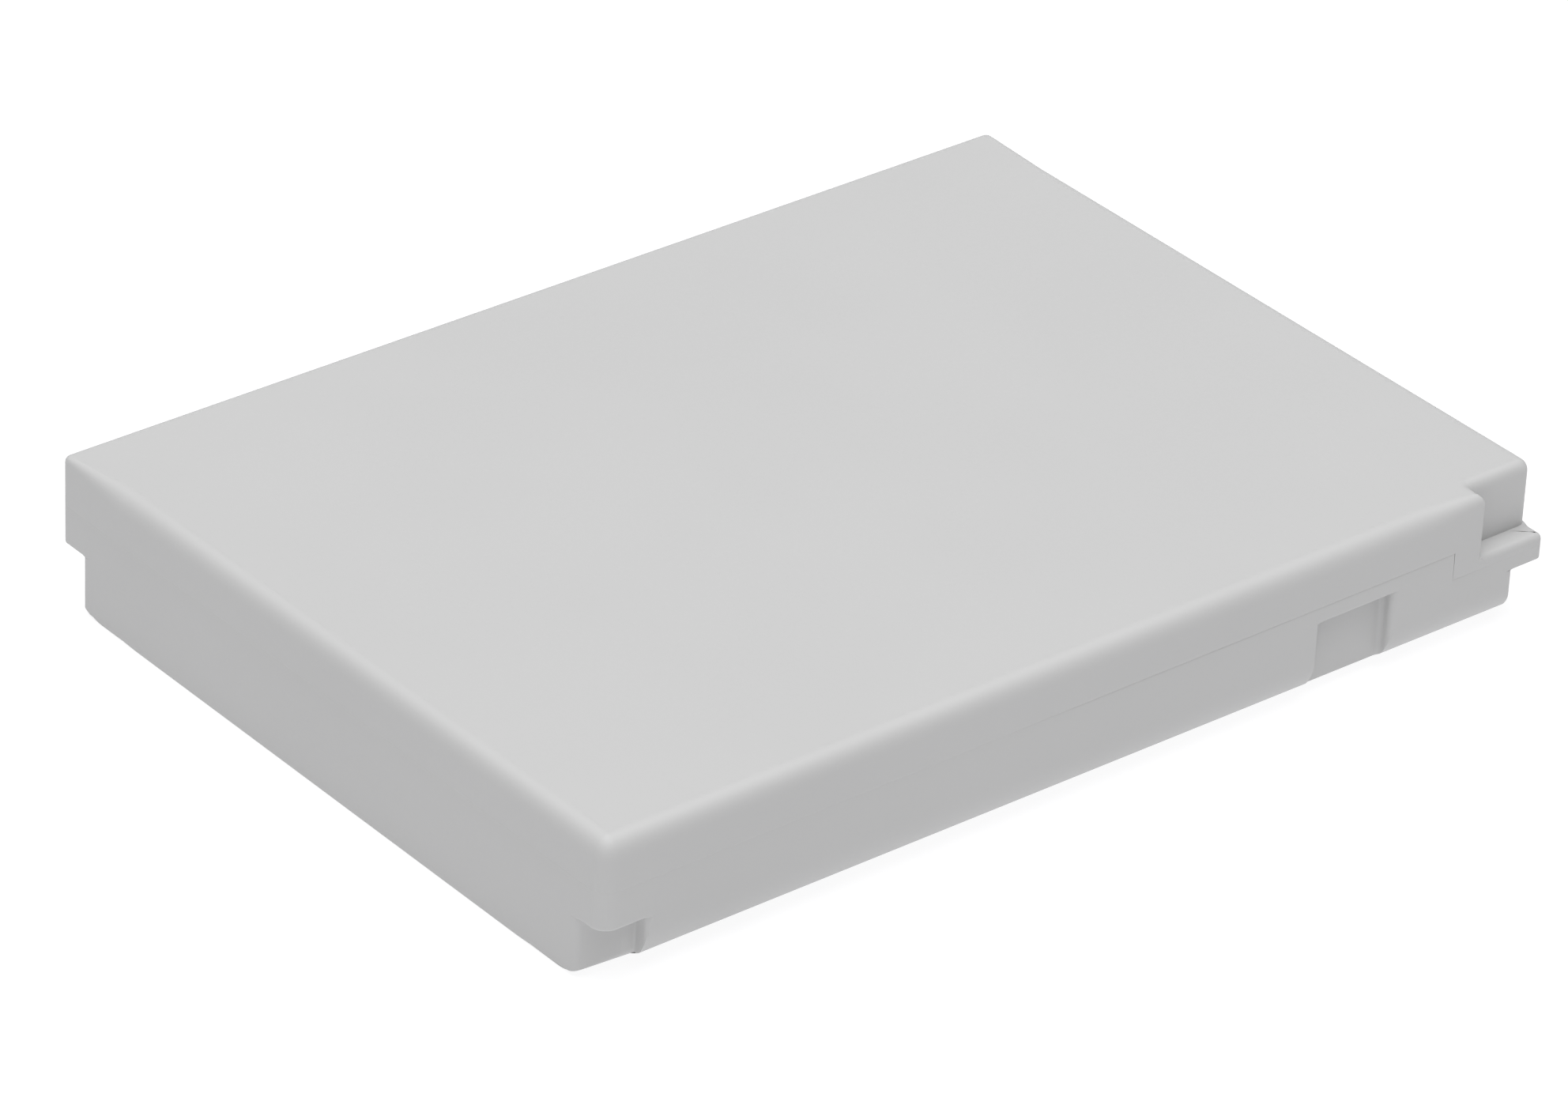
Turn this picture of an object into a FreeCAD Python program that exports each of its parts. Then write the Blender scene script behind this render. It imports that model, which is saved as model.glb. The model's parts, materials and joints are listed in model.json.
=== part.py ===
import FreeCAD
import Part
import Sketcher
import os

# Flat rechargeable battery pack of a pager: two welded shells around one lithium-ion cell
# and its protection board. Millimetres, +X along the length, +Z up, origin under the middle.
# Front is -Y. The left end (-X) has the guide notches, the right end (+X) the contacts.

DRIVING_SIZES = {
    # case, outside
    "case_length": 50.8,
    "case_width": 37.0,
    "case_height": 7.0,
    "top_radius": 0.65,
    "corner_beyond_top": 0.15,
    "belly_radius": 2.4,
    # parting line between the shells, and its lower stretch at the right end
    "cover_depth": 2.34,
    "seam_drop": 1.3,
    "drop_length": 5.25,
    # walls
    "cover_wall": 0.8,
    "floor_wall": 0.8,
    "side_wall": 1.3,
    "end_wall": 1.1,
    "cavity_radius": 1.2,
    # locating rim of the tray inside the cover
    "rim_thickness": 0.5,
    "rim_height": 0.6,
    "rim_clearance": 0.05,
    # stepped right end: the tray's flange and the wall set in below it
    "end_step": 1.5,
    "flange_thickness": 0.7,
    "flange_corner_radius": 0.25,
    "tray_end_radius": 0.25,
    # key notch in the cover's right front corner, with its ledge
    "notch_length": 3.6,
    "notch_depth": 1.05,
    "notch_wall": 0.8,
    "ledge_thickness": 0.55,
    "ledge_radius": 0.3,
    # guide notches under the left corners
    "guide_length": 2.6,
    "guide_depth": 1.3,
    "guide_below_seam": 1.85,
    "guide_wall": 1.0,
    "guide_radius": 0.8,
    "guide_edge_radius": 0.25,
    # latch recess in the front side
    "latch_from_end": 8.7,
    "latch_length": 4.25,
    "latch_below_seam": 0.75,
    "latch_back_wall": 0.55,
    # cell, its tape and its foam
    "cell_side_clearance": 0.2,
    "cell_end_clearance": 0.1,
    "cell_side_flat": 0.8,
    "cell_end_bevel": 0.3,
    "tape_thickness": 0.15,
    "foam_thickness": 0.35,
    "pad_inset": 4.0,
    # cell terminal
    "seal_radius": 1.1,
    "seal_thickness": 0.3,
    "rivet_radius": 0.85,
    "rivet_thickness": 0.4,
    "shank_radius": 0.5,
    # insulator card
    "card_thickness": 0.2,
    "card_inset": 1.2,
    "card_margin": 0.3,
    "card_clearance": 0.15,
    # protection board and what stands on it
    "board_thickness": 0.6,
    "board_inset": 3.2,
    "board_gap": 2.6,
    "board_clearance": 0.05,
    "board_edge_gap": 0.15,
    "chip_width": 2.9,
    "chip_length": 1.6,
    "chip_height": 1.1,
    "chip_centre": -0.4,
    "switch_width": 4.4,
    "switch_length": 3.0,
    "switch_height": 1.0,
    "switch_centre": 4.0,
    "small_width": 1.6,
    "small_length": 0.8,
    "small_height": 0.5,
    "small_pitch_wide": 1.9,
    "small_pitch_high": 1.6,
    "small_centre": -4.3,
    # contacts and their windows
    "contact_pitch": 5.0,
    "window_width": 3.0,
    "window_margin": 0.15,
    "contact_clearance": 0.15,
    "contact_thickness": 0.6,
    # nickel strips and the thermal cut-off
    "strip_thickness": 0.15,
    "strip_width": 2.0,
    "lead_edge": 1.5,
    "lead_leg": 2.5,
    "cutoff_length": 4.8,
    "cutoff_width": 2.6,
    "cutoff_overlap": 2.0,
    "cutoff_lead_gap": 0.15,
    "weld_gap": 0.45,
    # how far a cutting shape runs past the surface it cuts
    "cut_over": 1.0,
}

doc = FreeCAD.newDocument("pager_battery")
sheet = doc.addObject("Spreadsheet::Sheet", "Sizes")
for row, (alias, value) in enumerate(DRIVING_SIZES.items(), start=1):
    sheet.set(f"A{row}", alias)
    sheet.set(f"B{row}", str(value))
    sheet.setAlias(f"B{row}", alias)
doc.recompute()

# Places that several pieces share, written once as expressions of the driving sizes
right = "(Sizes.case_length / 2)"
left = "(-Sizes.case_length / 2)"
back = "(Sizes.case_width / 2)"
front = "(-Sizes.case_width / 2)"
top = "Sizes.case_height"
corner_radius = "(Sizes.top_radius + Sizes.corner_beyond_top)"
seam = "(Sizes.case_height - Sizes.cover_depth)"
low_seam = f"({seam} - Sizes.seam_drop)"
flange_foot = f"({low_seam} - Sizes.flange_thickness)"
ledge_top = f"({low_seam} + Sizes.ledge_thickness)"
drop_start = f"({right} - Sizes.drop_length)"
roof = f"({top} - Sizes.cover_wall)"
rim_room = "(Sizes.rim_thickness + Sizes.rim_clearance)"
cover_side = f"(Sizes.side_wall - {rim_room})"
cover_end = f"(Sizes.end_wall - {rim_room})"
tray_end = f"({right} - Sizes.end_step)"
tray_end_inside = f"({tray_end} - Sizes.end_wall)"
cavity_left = f"({left} + Sizes.end_wall)"
cavity_front = f"({front} + Sizes.side_wall)"
cavity_back = f"({back} - Sizes.side_wall)"
notch_left = f"({right} - Sizes.notch_length)"
notch_back = f"({front} + Sizes.notch_depth)"
guide_right = f"({left} + Sizes.guide_length)"
guide_front = f"({front} + Sizes.guide_depth)"
guide_back = f"({back} - Sizes.guide_depth)"
guide_top = f"({seam} - Sizes.guide_below_seam)"
latch_right = f"({right} - Sizes.latch_from_end)"
latch_left = f"({latch_right} - Sizes.latch_length)"
latch_back = f"({front} + Sizes.side_wall - Sizes.latch_back_wall)"
latch_top = f"({seam} - Sizes.latch_below_seam)"
cell_left = f"({guide_right} + Sizes.guide_wall + Sizes.cell_end_clearance)"
cell_front = f"({cavity_front} + Sizes.cell_side_clearance)"
cell_back = f"({cavity_back} - Sizes.cell_side_clearance)"
cell_foot = "(Sizes.floor_wall + Sizes.tape_thickness)"
cell_top = f"({roof} - Sizes.foam_thickness)"
cell_middle = f"(({cell_foot} + {cell_top}) / 2)"
board_outside = f"({tray_end_inside} - Sizes.board_clearance)"
board_inside = f"({board_outside} - Sizes.board_thickness)"
board_side = f"({cavity_back} - Sizes.board_inset)"
board_foot = "(Sizes.floor_wall + Sizes.board_edge_gap)"
board_top = f"({roof} - Sizes.board_edge_gap)"
cell_right = f"({board_inside} - Sizes.board_gap)"
card_face = f"({cell_right} + Sizes.card_thickness)"
rivet_foot = f"({cell_right} + Sizes.seal_thickness)"
rivet_top = f"({rivet_foot} + Sizes.rivet_thickness)"
strip_top = f"({rivet_top} + Sizes.strip_thickness)"
strip_foot = f"({cell_middle} - Sizes.strip_width / 2)"
window_foot = "(Sizes.floor_wall + Sizes.window_margin)"
window_top = f"({flange_foot} - Sizes.window_margin)"

NEAR = 1e-4
pieces = []


def number(text):
    return float(sheet.evalExpression(text))


def keep(piece, label):
    piece.Label = label
    pieces.append(piece)
    return piece


def new_body(label):
    return keep(doc.addObject("PartDesign::Body", label), label)


def new_sketch(body, name, role, offset=None):
    sketch = body.newObject("Sketcher::SketchObject", name)
    plane = next(feature for feature in body.Origin.OriginFeatures if feature.Role == role)
    sketch.AttachmentSupport = [(plane, "")]
    sketch.MapMode = "FlatFace"
    if offset is not None:
        sketch.setExpression("AttachmentOffset.Base.z", offset)
    return sketch


def outline(sketch, corners):
    # A closed outline of level and upright edges, each edge held by one bound distance.
    count = len(corners)
    first = sketch.GeometryCount
    points = [FreeCAD.Vector(number(x), number(y), 0) for x, y in corners]
    for index in range(count):
        sketch.addGeometry(Part.LineSegment(points[index], points[(index + 1) % count]))
    for index in range(count):
        following = first + (index + 1) % count
        sketch.addConstraint(Sketcher.Constraint("Coincident", first + index, 2, following, 1))
    for index in range(count):
        x, y = corners[index]
        upright = x == corners[(index + 1) % count][0]
        sketch.addConstraint(Sketcher.Constraint("Vertical" if upright else "Horizontal", first + index))
        kind, text = ("DistanceX", x) if upright else ("DistanceY", y)
        datum = Sketcher.Constraint(kind, -1, 1, first + index, 1, number(text))
        sketch.setExpression(f"Constraints[{sketch.addConstraint(datum)}]", text)


def rectangle(sketch, x0, x1, y0, y1):
    outline(sketch, [(x0, y0), (x1, y0), (x1, y1), (x0, y1)])


def circle(sketch, height, radius):
    # A circle on the upright axis of its sketch.
    centre = FreeCAD.Vector(0, number(height), 0)
    ring = sketch.addGeometry(Part.Circle(centre, FreeCAD.Vector(0, 0, 1), number(radius)))
    sketch.addConstraint(Sketcher.Constraint("PointOnObject", ring, 3, -2))
    datum = Sketcher.Constraint("DistanceY", -1, 1, ring, 3, number(height))
    sketch.setExpression(f"Constraints[{sketch.addConstraint(datum)}]", height)
    datum = Sketcher.Constraint("Radius", ring, number(radius))
    sketch.setExpression(f"Constraints[{sketch.addConstraint(datum)}]", radius)


def pad(body, sketch, name, length):
    feature = body.newObject("PartDesign::Pad", name)
    feature.Profile = sketch
    feature.setExpression("Length", length)
    doc.recompute()
    return feature


def pocket(body, sketch, name, length, upward=False, both_ways=False):
    before = body.Shape.Volume
    feature = body.newObject("PartDesign::Pocket", name)
    feature.Profile = sketch
    feature.Reversed = upward
    if both_ways:
        feature.SideType = "Symmetric"
    feature.setExpression("Length", length)
    doc.recompute()
    if body.Shape.Volume > before - NEAR:
        raise RuntimeError(f"{name} cuts nothing")
    return feature


def dress(body, kind, name, size, test):
    # Rounds or bevels the edges of the body that pass the test.
    base = body.Tip
    names = [f"Edge{i}" for i, edge in enumerate(base.Shape.Edges, start=1) if test(edge)]
    if not names:
        raise RuntimeError(f"{name} finds no edge")
    feature = body.newObject(f"PartDesign::{kind}", name)
    feature.Base = (base, names)
    feature.setExpression("Radius" if kind == "Fillet" else "Size", size)
    doc.recompute()
    if not feature.isValid():
        raise RuntimeError(f"{name} fails on {len(names)} edges")
    return feature


def ends_at(edge, **places):
    # True where every end of the edge lies at the named places, such as X=..., Z=...
    return all(abs(getattr(vertex, axis) - place) < NEAR
               for vertex in edge.Vertexes for axis, place in places.items())


def on_plan(edge, x, y):
    return ends_at(edge, X=number(x), Y=number(y)) and edge.BoundBox.ZLength > NEAR


def block(label, x0, x1, y0, y1, z0, z1):
    solid = doc.addObject("Part::Box", label)
    for side, place, low, high in (("Length", "x", x0, x1), ("Width", "y", y0, y1), ("Height", "z", z0, z1)):
        solid.setExpression(side, f"{high} - {low}")
        solid.setExpression(f"Placement.Base.{place}", low)
    return solid


def group(label, members):
    solids = doc.addObject("Part::Compound", label)
    solids.Links = members
    return keep(solids, label)


def disc(label, radius, x0, x1):
    # A round piece on the cell's terminal axis, which runs along X.
    solid = doc.addObject("Part::Cylinder", label)
    solid.Placement.Rotation = FreeCAD.Rotation(FreeCAD.Vector(0, 1, 0), 90)
    solid.setExpression("Radius", radius)
    solid.setExpression("Height", f"{x1} - {x0}")
    solid.setExpression("Placement.Base.x", x0)
    solid.setExpression("Placement.Base.z", cell_middle)
    return solid


def make_bottom_tray():
    body = new_body("bottom_tray")
    sketch = new_sketch(body, "TrayPlan", "XY_Plane")
    rectangle(sketch, left, right, front, back)
    pad(body, sketch, "TrayBlock", seam)
    dress(body, "Fillet", "Belly", "Sizes.belly_radius",
          lambda edge: ends_at(edge, Z=0) and edge.BoundBox.XLength > NEAR)

    # Right end seen from the side: the wall steps in under the flange, and the seam drops
    sketch = new_sketch(body, "EndProfile", "XZ_Plane")
    rectangle(sketch, tray_end, f"({right} + Sizes.cut_over)", "(-Sizes.cut_over)", flange_foot)
    rectangle(sketch, drop_start, f"({right} + Sizes.cut_over)", low_seam, f"({seam} + Sizes.cut_over)")
    pocket(body, sketch, "EndSteps", "Sizes.case_width + 2 * Sizes.cut_over", both_ways=True)

    # Guide notches under both left corners, and the latch recess, which are open below
    sketch = new_sketch(body, "GuidePlan", "XY_Plane")
    past_left = f"({left} - Sizes.cut_over)"
    rectangle(sketch, past_left, guide_right, f"({front} - Sizes.cut_over)", guide_front)
    rectangle(sketch, past_left, guide_right, guide_back, f"({back} + Sizes.cut_over)")
    pocket(body, sketch, "GuideNotches", guide_top, upward=True)
    sketch = new_sketch(body, "LatchPlan", "XY_Plane")
    rectangle(sketch, latch_left, latch_right, f"({front} - Sizes.cut_over)", latch_back)
    pocket(body, sketch, "LatchRecess", latch_top, upward=True)

    # Rounded corners and edges
    dress(body, "Fillet", "LeftCorners", corner_radius,
          lambda edge: on_plan(edge, left, front) or on_plan(edge, left, back))
    dress(body, "Fillet", "GuideCorners", "Sizes.guide_radius",
          lambda edge: on_plan(edge, left, guide_front) or on_plan(edge, left, guide_back))
    dress(body, "Fillet", "FrontFlangeCorner", "Sizes.flange_corner_radius",
          lambda edge: on_plan(edge, right, front))
    dress(body, "Fillet", "BackFlangeCorner", corner_radius,
          lambda edge: on_plan(edge, right, back))
    end_x = number(tray_end)
    step_z = number(flange_foot)
    dress(body, "Fillet", "TrayEndEdge", "Sizes.tray_end_radius",
          lambda edge: ends_at(edge, X=end_x) and edge.BoundBox.ZMin < step_z - NEAR)

    guide_x = number(guide_right)
    inner_edges = [{"Z": number(guide_top)}, {"Y": number(guide_front)}, {"Y": number(guide_back)}]
    dress(body, "Fillet", "GuideEdges", "Sizes.guide_edge_radius",
          lambda edge: ends_at(edge, X=guide_x) and not any(ends_at(edge, **line) for line in inner_edges))

    # Inside: the cavity keeps a block of wall round each guide notch
    sketch = new_sketch(body, "CavityPlan", "XY_Plane", "Sizes.floor_wall")
    block_x = f"({guide_right} + Sizes.guide_wall)"
    block_front = f"({guide_front} + Sizes.guide_wall)"
    block_back = f"({guide_back} - Sizes.guide_wall)"
    outline(sketch, [
        (cavity_left, block_front), (block_x, block_front), (block_x, cavity_front),
        (tray_end_inside, cavity_front), (tray_end_inside, cavity_back),
        (block_x, cavity_back), (block_x, block_back), (cavity_left, block_back),
    ])
    pocket(body, sketch, "Cavity", f"{seam} + Sizes.cut_over", upward=True)
    floor_z = number("Sizes.floor_wall")
    sides = (number(cavity_front), number(cavity_back))
    dress(body, "Fillet", "CavityFoot", "Sizes.cavity_radius",
          lambda edge: any(ends_at(edge, Y=side, Z=floor_z) for side in sides))

    # Contact windows through the end wall
    sketch = new_sketch(body, "Windows", "YZ_Plane", f"({tray_end} + Sizes.cut_over)")
    for step in (-1, 0, 1):
        middle = f"({step} * Sizes.contact_pitch)"
        rectangle(sketch, f"({middle} - Sizes.window_width / 2)", f"({middle} + Sizes.window_width / 2)",
                  window_foot, window_top)
    pocket(body, sketch, "ContactWindows", "Sizes.end_wall + 2 * Sizes.cut_over")

    # Locating rim on the left, front and back walls
    sketch = new_sketch(body, "RimPlan", "XY_Plane", seam)
    rim_end = f"({drop_start} - Sizes.rim_clearance)"
    rim_left = f"({cavity_left} - Sizes.rim_thickness)"
    rim_front = f"({cavity_front} - Sizes.rim_thickness)"
    rim_back = f"({cavity_back} + Sizes.rim_thickness)"
    outline(sketch, [
        (rim_left, rim_front), (rim_end, rim_front), (rim_end, cavity_front), (cavity_left, cavity_front),
        (cavity_left, cavity_back), (rim_end, cavity_back), (rim_end, rim_back), (rim_left, rim_back),
    ])
    pad(body, sketch, "Rim", "Sizes.rim_height")


def make_top_cover():
    body = new_body("top_cover")
    sketch = new_sketch(body, "CoverPlan", "XY_Plane", low_seam)
    rectangle(sketch, left, right, front, back)
    pad(body, sketch, "CoverBlock", f"{top} - {low_seam}")
    dress(body, "Fillet", "Corners", corner_radius,
          lambda edge: on_plan(edge, left, front) or on_plan(edge, left, back) or on_plan(edge, right, back))
    dress(body, "Fillet", "LedgeCorner", "Sizes.flange_corner_radius",
          lambda edge: on_plan(edge, right, front))

    # The lower edge steps down at the right end
    sketch = new_sketch(body, "SeamProfile", "XZ_Plane")
    rectangle(sketch, f"({left} - Sizes.cut_over)", drop_start, f"({low_seam} - Sizes.cut_over)", seam)
    pocket(body, sketch, "SeamStep", "Sizes.case_width + 2 * Sizes.cut_over", both_ways=True)

    # Key notch in the right front corner, down to its ledge
    sketch = new_sketch(body, "NotchPlan", "XY_Plane", ledge_top)
    rectangle(sketch, notch_left, f"({right} + Sizes.cut_over)", f"({front} - Sizes.cut_over)", notch_back)
    pocket(body, sketch, "KeyNotch", f"{top} + Sizes.cut_over", upward=True)
    ledge_z = number(ledge_top)
    ledge_x = number(right)
    ledge_y = number(front)
    dress(body, "Fillet", "LedgeEdge", "Sizes.ledge_radius",
          lambda edge: ends_at(edge, Z=ledge_z) and (ends_at(edge, X=ledge_x) or ends_at(edge, Y=ledge_y)))
    dress(body, "Fillet", "NotchCorner", corner_radius,
          lambda edge: on_plan(edge, right, notch_back))
    top_z = number(top)
    dress(body, "Fillet", "TopEdge", "Sizes.top_radius", lambda edge: ends_at(edge, Z=top_z))

    # Hollow from below, with a wall round the notch
    sketch = new_sketch(body, "HollowPlan", "XY_Plane", roof)
    hollow_left = f"({left} + {cover_end})"
    hollow_right = f"({right} - {cover_side})"
    hollow_front = f"({front} + {cover_side})"
    hollow_back = f"({back} - {cover_side})"
    block_x = f"({notch_left} - Sizes.notch_wall)"
    block_y = f"({notch_back} + Sizes.notch_wall)"
    outline(sketch, [
        (hollow_left, hollow_front), (block_x, hollow_front), (block_x, block_y),
        (hollow_right, block_y), (hollow_right, hollow_back), (hollow_left, hollow_back),
    ])
    pocket(body, sketch, "Hollow", top)


def make_cell():
    body = new_body("cell")
    sketch = new_sketch(body, "CellSection", "YZ_Plane", cell_left)
    rectangle(sketch, cell_front, cell_back, cell_foot, cell_top)
    pad(body, sketch, "Can", f"{cell_right} - {cell_left}")
    dress(body, "Fillet", "CanSides", f"({cell_top} - {cell_foot} - Sizes.cell_side_flat) / 2",
          lambda edge: edge.BoundBox.XLength > NEAR)
    closed_end = number(cell_left)
    dress(body, "Chamfer", "CanBase", "Sizes.cell_end_bevel", lambda edge: ends_at(edge, X=closed_end))


def make_terminal():
    ring = doc.addObject("Part::Cut", "terminal_seal")
    ring.Base = disc("SealDisc", "Sizes.seal_radius", cell_right, rivet_foot)
    ring.Tool = disc("SealBore", "Sizes.shank_radius", cell_right, rivet_foot)
    keep(ring, "terminal_seal")
    rivet = doc.addObject("Part::Fuse", "cell_terminal")
    rivet.Base = disc("RivetHead", "Sizes.rivet_radius", rivet_foot, rivet_top)
    rivet.Tool = disc("RivetShank", "Sizes.shank_radius", cell_right, rivet_top)
    keep(rivet, "cell_terminal")


# Places of the leads along the board, measured from its two ends
lead_bend = f"({board_side} - Sizes.lead_edge - Sizes.lead_leg)"
lead_tip = f"({board_side} - Sizes.lead_edge)"
lead_inner = f"({lead_bend} - Sizes.strip_thickness)"
lead_root = f"({lead_inner} - Sizes.lead_leg)"
cutoff_end = f"({lead_inner} - Sizes.cutoff_lead_gap)"
cutoff_start = f"({cutoff_end} - Sizes.cutoff_length)"
terminal_weld_end = f"({cutoff_start} + Sizes.cutoff_overlap)"
negative_root = f"({terminal_weld_end} + Sizes.weld_gap)"
leg_face = f"({board_inside} - Sizes.strip_thickness)"


def make_insulator_card():
    body = new_body("insulator_card")
    sketch = new_sketch(body, "CardPlan", "YZ_Plane", cell_right)
    edge_front = f"({cell_front} + Sizes.card_inset)"
    edge_back = f"({cell_back} - Sizes.card_inset)"
    edge_foot = f"({cell_foot} + Sizes.card_margin)"
    edge_top = f"({cell_top} - Sizes.card_margin)"
    rectangle(sketch, edge_front, edge_back, edge_foot, edge_top)
    circle(sketch, cell_middle, "(Sizes.seal_radius + Sizes.card_clearance)")
    rectangle(sketch, f"(-{lead_bend} - Sizes.card_clearance)", f"(-{lead_root} + Sizes.card_clearance)",
              f"({strip_foot} - Sizes.card_clearance)",
              f"({strip_foot} + Sizes.strip_width + Sizes.card_clearance)")
    pad(body, sketch, "Card", "Sizes.card_thickness")


def make_leads():
    # The positive strip is welded to the can, the negative one to the cut-off. Both bend to the board.
    body = new_body("positive_lead")
    sketch = new_sketch(body, "PositiveProfile", "XY_Plane", strip_foot)
    weld_face = f"({cell_right} + Sizes.strip_thickness)"
    outline(sketch, [
        (cell_right, f"(-{lead_bend})"), (leg_face, f"(-{lead_bend})"), (leg_face, f"(-{lead_tip})"),
        (board_inside, f"(-{lead_tip})"), (board_inside, f"(-{lead_inner})"), (weld_face, f"(-{lead_inner})"),
        (weld_face, f"(-{lead_root})"), (cell_right, f"(-{lead_root})"),
    ])
    pad(body, sketch, "PositiveStrip", "Sizes.strip_width")
    body = new_body("negative_lead")
    sketch = new_sketch(body, "NegativeProfile", "XY_Plane", strip_foot)
    outline(sketch, [
        (rivet_top, negative_root), (strip_top, negative_root), (strip_top, lead_inner),
        (board_inside, lead_inner), (board_inside, lead_tip), (leg_face, lead_tip),
        (leg_face, lead_bend), (rivet_top, lead_bend),
    ])
    pad(body, sketch, "NegativeStrip", "Sizes.strip_width")
    keep(block("terminal_strip", rivet_top, strip_top, "(-Sizes.rivet_radius)", terminal_weld_end,
               strip_foot, f"({strip_foot} + Sizes.strip_width)"), "terminal_strip")
    keep(block("thermal_cutoff", card_face, rivet_top, cutoff_start, cutoff_end,
               f"({cell_middle} - Sizes.cutoff_width / 2)", f"({cell_middle} + Sizes.cutoff_width / 2)"),
         "thermal_cutoff")


def on_board(label, width, length, height, centre_y, centre_z):
    # A component on the board's inner face.
    return block(label, f"({board_inside} - {height})", board_inside,
                 f"({centre_y} - {width} / 2)", f"({centre_y} + {width} / 2)",
                 f"({centre_z} - {length} / 2)", f"({centre_z} + {length} / 2)")


def make_board():
    keep(block("protection_board", board_inside, board_outside, f"(-{board_side})", board_side,
               board_foot, board_top), "protection_board")
    keep(on_board("control_chip", "Sizes.chip_width", "Sizes.chip_length", "Sizes.chip_height",
                  "Sizes.chip_centre", cell_middle), "control_chip")
    keep(on_board("switch_transistor", "Sizes.switch_width", "Sizes.switch_length", "Sizes.switch_height",
                  "Sizes.switch_centre", cell_middle), "switch_transistor")
    small = []
    for across in (-1, 1):
        for up in (-1, 1):
            small.append(on_board(
                "SmallPart", "Sizes.small_width", "Sizes.small_length", "Sizes.small_height",
                f"(Sizes.small_centre + {across} * Sizes.small_pitch_wide / 2)",
                f"({cell_middle} + {up} * Sizes.small_pitch_high / 2)"))
    group("chip_components", small)
    pads = []
    for step in (-1, 0, 1):
        middle = f"({step} * Sizes.contact_pitch)"
        half = "(Sizes.window_width / 2 - Sizes.contact_clearance)"
        pads.append(block(
            "ContactPad", board_outside, f"({board_outside} + Sizes.contact_thickness)",
            f"({middle} - {half})", f"({middle} + {half})",
            f"({window_foot} + Sizes.contact_clearance)", f"({window_top} - Sizes.contact_clearance)"))
    group("contact_pads", pads)


def make_pads():
    # Tape under the cell and foam over it, both a little smaller than the can's flat faces.
    sides = (f"({cell_left} + Sizes.pad_inset)", f"({cell_right} - Sizes.pad_inset)",
             f"({cell_front} + Sizes.pad_inset)", f"({cell_back} - Sizes.pad_inset)")
    keep(block("cell_tape", *sides, "Sizes.floor_wall", cell_foot), "cell_tape")
    keep(block("foam_pad", *sides, cell_top, roof), "foam_pad")


make_bottom_tray()
make_top_cover()
make_cell()
make_terminal()
make_insulator_card()
make_leads()
make_board()
make_pads()
doc.recompute()

for thing in doc.Objects:
    if {"Invalid", "Error"} & set(thing.State):
        raise RuntimeError(f"{thing.Label} failed: {thing.State}")
for piece in pieces:
    if piece.Shape.isNull() or not piece.Shape.isValid():
        raise RuntimeError(f"{piece.Label} has no valid shape")

os.makedirs("parts", exist_ok=True)
for piece in pieces:
    piece.Shape.exportStep(f"parts/{piece.Label}.step")
    print(piece.Label, len(piece.Shape.Solids), round(piece.Shape.Volume, 2))
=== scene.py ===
import json
import math

import bmesh
import bpy
import numpy as np
from mathutils import Matrix, Vector


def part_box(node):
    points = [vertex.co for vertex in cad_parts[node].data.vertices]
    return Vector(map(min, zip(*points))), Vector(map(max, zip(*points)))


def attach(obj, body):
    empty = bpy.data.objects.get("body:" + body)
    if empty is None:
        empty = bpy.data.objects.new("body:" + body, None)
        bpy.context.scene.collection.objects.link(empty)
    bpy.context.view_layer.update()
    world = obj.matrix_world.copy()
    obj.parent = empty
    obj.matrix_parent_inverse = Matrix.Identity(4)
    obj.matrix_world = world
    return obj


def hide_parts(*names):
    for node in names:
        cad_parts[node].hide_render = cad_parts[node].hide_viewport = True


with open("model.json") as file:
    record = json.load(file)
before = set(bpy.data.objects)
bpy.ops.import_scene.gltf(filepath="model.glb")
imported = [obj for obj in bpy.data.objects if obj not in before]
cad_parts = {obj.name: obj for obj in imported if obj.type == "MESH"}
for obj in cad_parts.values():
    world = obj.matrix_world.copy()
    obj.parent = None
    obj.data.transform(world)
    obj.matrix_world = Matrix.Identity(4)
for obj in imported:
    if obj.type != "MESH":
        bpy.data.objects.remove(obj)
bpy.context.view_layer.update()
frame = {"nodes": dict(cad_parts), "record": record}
mm = 0.001              # shapes below are worked out in millimetres, Blender's unit is the metre
print("pager battery: frame loaded with", len(frame["nodes"]), "nodes")


# outlines and lofted shells

meshDetail = {
    "arcParts": 8,          # straight pieces in each rounded corner
    "edgeParts": 8,         # and across each rounded edge
    "leastRadius": 0.01,    # mm, what stays of a corner that an inset uses up
    "leastStep": 0.01,      # mm between neighbouring points of a profile
    "pinShare": 0.2,        # share of a run that each of its pinned ends counts for
    "shareDigits": 6,       # shares that agree this far are one point
    "roundShare": 0.8,      # most of a step's depth that the rounding of its edge takes
    "touch": 0.001,         # mm, a point this close to a wall is on it
    "weld": 0.0002,         # mm, points closer than this become one
    "sharpAngle": 32,       # degrees, edges that turn further look crisp
}
quarter = np.linspace(0, math.pi / 2, meshDetail["edgeParts"] + 1)
smallQuarter = quarter[::2]     # enough for the smaller edges


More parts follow.
